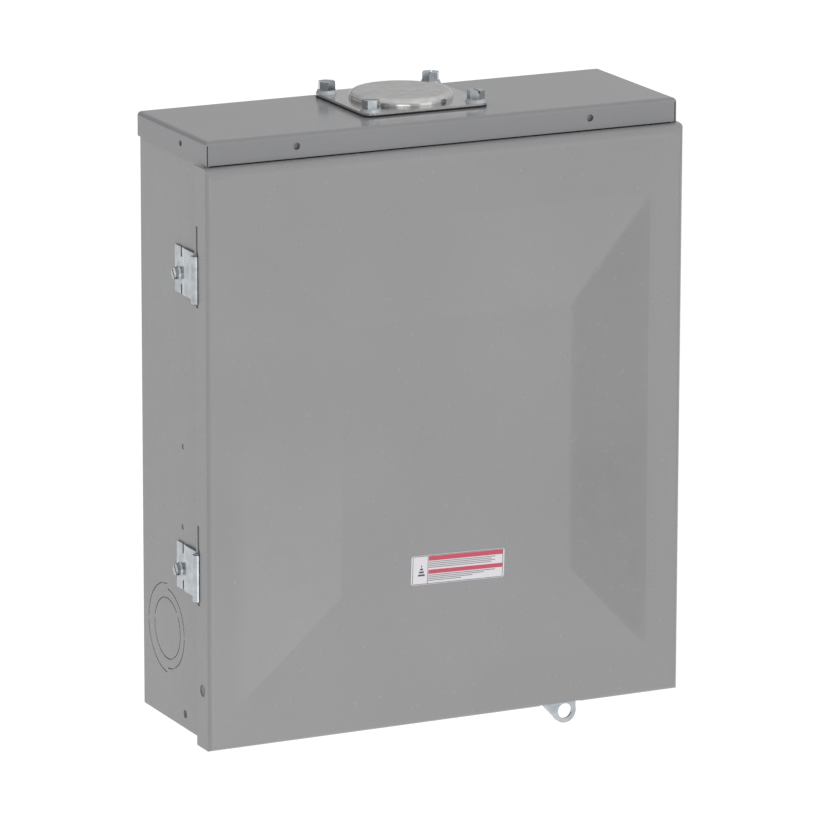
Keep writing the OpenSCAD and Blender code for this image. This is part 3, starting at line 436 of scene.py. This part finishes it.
def label_piece(name, areas, material, round_by=0.0):
    """One layer of the print: flat areas given as x, y and z spans about the label's centre."""
    low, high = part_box("door_label")
    centre = Vector(((low[0] + high[0]) / 2.0, 0.0, (low[2] + high[2]) / 2.0))
    bm = bmesh.new()
    for area in areas:
        slab(bm, *area)
    bmesh.ops.recalc_face_normals(bm, faces=bm.faces)
    if round_by:
        edges = [e for e in bm.edges if abs(e.verts[0].co.y - e.verts[1].co.y) > 1e-6]
        bmesh.ops.bevel(bm, geom=edges, offset=round_by, segments=4, affect="EDGES")
    laid_on_door(bm, centre)
    mesh = bpy.data.meshes.new(name)
    bm.to_mesh(mesh)
    bm.free()
    mesh.materials.append(material)
    return piece(name, mesh, "door")


def label_print():
    """A generic notice: a pictogram panel, two red headings and grey lines of print."""
    low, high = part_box("door_label")
    wide, tall = high[0] - low[0], high[2] - low[2]
    c, s = math.cos(LABEL_TILT), math.sin(LABEL_TILT)
    w = (wide * c - tall * s) / (c * c - s * s)
    h = (tall * c - wide * s) / (c * c - s * s)
    back = high[1] - 0.02 * MM
    face = low[1] + 2.0 * INK_FILM

    def area(u0, u1, v0, v1):
        """A printed area given in fractions of the label's width and height."""
        return ((u0 - 0.5) * w, (u1 - 0.5) * w, face - INK_FILM, face + 0.5 * INK_FILM,
                (v0 - 0.5) * h, (v1 - 0.5) * h)

    base = label_piece("label_base", [(-w / 2, w / 2, face, back, -h / 2, h / 2)],
                       MATERIALS["label_white"], LABEL_CORNER)
    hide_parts("door_label")

    red = printed("label_red", (0.47, 0.06, 0.10))
    ink = printed("label_ink", (0.20, 0.19, 0.20))
    dark = printed("label_dark", (0.05, 0.05, 0.055))
    label_piece("label_red_bands", [
        area(TEXT_LEFT, HEADING_RIGHT, 0.80, 0.955),
        area(TEXT_LEFT, HEADING_RIGHT, 0.355, 0.495),
    ], red)
    rows = [(v, TEXT_RIGHT - 0.04 * (i % 2)) for i, v in enumerate((0.74, 0.68, 0.62, 0.56))]
    rows += [(v, TEXT_RIGHT - 0.12 * i) for i, v in enumerate((0.295, 0.235, 0.175, 0.115))]
    lines = [area(TEXT_LEFT, right, v, v + LINE_TALL) for v, right in rows]
    label_piece("label_lines", lines, ink)
    rim = RULE * w / h
    frame_lines = [
        area(0.02, 0.98, FRAME_HIGH, FRAME_HIGH + rim),
        area(0.02, 0.98, FRAME_LOW - rim, FRAME_LOW),
    ]
    frame_lines += [area(u, u + RULE, FRAME_LOW, FRAME_HIGH) for u in (0.015, 0.98, 0.175)]
    # The pictogram: four bars that get shorter towards the top
    frame_lines += [area(0.075 + 0.01 * i, 0.145 - 0.01 * i, 0.30 + 0.1 * i, 0.36 + 0.1 * i)
                    for i in range(4)]
    label_piece("label_frame", frame_lines, dark)


label_print()


# ---------- stage, light and camera ----------

FLOOR_GLOW = 0.2
FLOOR_HALF = 30.0
FLOOR_DROP = 0.30
FLOOR_WHITE = (0.93, 0.93, 0.93, 1.0)
FLAG_HALF = (0.20, 0.31)
FLAG_PLACE = (0.87, -0.73, -0.20)
FLAG_TURN = math.radians(52.0)
FLAG_DARK = (0.02, 0.02, 0.02, 1.0)


def stage_card(name, points, finish, colour):
    """A flat matt card of the stage, from its corners; gives the card and its shader."""
    mesh = bpy.data.meshes.new(name)
    bm = bmesh.new()
    bm.faces.new([bm.verts.new(point) for point in points])
    bm.to_mesh(mesh)
    bm.free()
    mat, _, shader = new_material(finish)
    shader.inputs["Roughness"].default_value = 0.9
    shader.inputs["Base Color"].default_value = colour
    mesh.materials.append(mat)
    obj = bpy.data.objects.new(name, mesh)
    bpy.context.scene.collection.objects.link(obj)
    return obj, shader


def stage_floor():
    """A plain pale floor that glows a little, as a light table does."""
    half, level = FLOOR_HALF, CAD_BOX[0][2] - FLOOR_DROP
    points = ((-half, -half, level), (half, -half, level), (half, half, level),
              (-half, half, level))
    obj, shader = stage_card("floor", points, "floor_white", FLOOR_WHITE)
    shader.inputs["Emission Color"].default_value = (1.0, 1.0, 1.0, 1.0)
    shader.inputs["Emission Strength"].default_value = FLOOR_GLOW


def dark_flag():
    """A dark card to the right, seen only in gloss, that darkens the door's right facet."""
    wide, tall = FLAG_HALF
    points = ((-wide, 0.0, -tall), (wide, 0.0, -tall), (wide, 0.0, tall), (-wide, 0.0, tall))
    obj, _ = stage_card("flag", points, "flag_dark", FLAG_DARK)
    obj.location = FLAG_PLACE
    obj.rotation_euler = (0.0, 0.0, FLAG_TURN)
    obj.visible_camera = False
    obj.visible_diffuse = False
    obj.visible_shadow = False


def area_light(name, place, size, power):
    """A soft white lamp aimed at the frame's origin and hidden from the camera."""
    data = bpy.data.lights.new(name, "AREA")
    data.shape = "RECTANGLE"
    data.size, data.size_y = size
    data.energy = power
    obj = bpy.data.objects.new(name, data)
    obj.location = place
    aim = Vector((0.0, 0.0, 0.0)) - Vector(place)
    obj.rotation_euler = aim.to_track_quat("-Z", "Y").to_euler()
    obj.visible_camera = False
    bpy.context.scene.collection.objects.link(obj)


# Brightness of the surround: an even part, then parts that grow towards each direction
SURROUND_EVEN = 0.3
SURROUND = (
    ((0.0, 0.0, 1.0), 0.68),
    ((1.0, 0.0, 0.0), 0.38),
    ((0.0, -1.0, 0.0), 0.26),
)


def studio_world():
    """A soft surround that is brighter towards some sides than others."""
    world = bpy.data.worlds.new("studio")
    world.use_nodes = True
    tree = world.node_tree
    tree.nodes.clear()
    out = tree.nodes.new("ShaderNodeOutputWorld")
    back = tree.nodes.new("ShaderNodeBackground")
    tree.links.new(back.outputs["Background"], out.inputs["Surface"])
    coord = tree.nodes.new("ShaderNodeTexCoord")
    total = None
    for direction, strength in SURROUND:
        dot = tree.nodes.new("ShaderNodeVectorMath")
        dot.operation = "DOT_PRODUCT"
        dot.inputs[1].default_value = direction
        tree.links.new(coord.outputs["Generated"], dot.inputs[0])
        part = ranged(tree, dot.outputs["Value"], 0.0, strength, 0.0, 1.0)
        add = tree.nodes.new("ShaderNodeMath")
        add.operation = "ADD"
        add.inputs[1].default_value = SURROUND_EVEN
        if total is not None:
            tree.links.new(total, add.inputs[1])
        tree.links.new(part, add.inputs[0])
        total = add.outputs["Value"]
    back.inputs["Color"].default_value = (1.0, 1.0, 1.0, 1.0)
    tree.links.new(total, back.inputs["Strength"])
    bpy.context.scene.world = world


# The photograph's camera: azimuth, elevation and roll, what it looks at, how far off, its lens
CAMERA_ANGLES = (-25.888, 14.076, 0.139)
CAMERA_TARGET = (0.0326, 0.0, -0.0244)
CAMERA_DISTANCE = 4.892
CAMERA_LENS = 295.8


def photo_camera():
    """The camera at the angle that the photograph was taken from."""
    azimuth, elevation, roll = (math.radians(v) for v in CAMERA_ANGLES)
    back = Vector((math.sin(azimuth) * math.cos(elevation),
                   -math.cos(azimuth) * math.cos(elevation), math.sin(elevation)))
    data = bpy.data.cameras.new("camera")
    data.sensor_width = 36.0
    data.lens = CAMERA_LENS
    data.clip_end = 100.0
    obj = bpy.data.objects.new("camera", data)
    obj.location = Vector(CAMERA_TARGET) + back * CAMERA_DISTANCE
    turn = back.to_track_quat("Z", "Y").to_matrix().to_4x4()
    obj.rotation_euler = (turn @ Matrix.Rotation(roll, 4, "Z")).to_euler()
    bpy.context.scene.collection.objects.link(obj)
    bpy.context.scene.camera = obj


stage_floor()
dark_flag()
studio_world()
# Each lamp's name, place, size and power
LAMPS = (
    ("front_left", (-1.1, -3.0, 0.28), (1.6, 1.2), 8.1),
    ("front_right", (1.57, -2.71, 0.67), (1.6, 1.6), 5.3),
    ("front_high", (0.0, -2.26, 2.26), (1.6, 1.6), 1.6),
    ("low_front", (-0.25, -0.85, -0.42), (0.9, 0.3), 0.8),
)
for lamp, place, size, power in LAMPS:
    area_light(lamp, place, size, power)
photo_camera()
bpy.context.scene.view_settings.view_transform = "Standard"
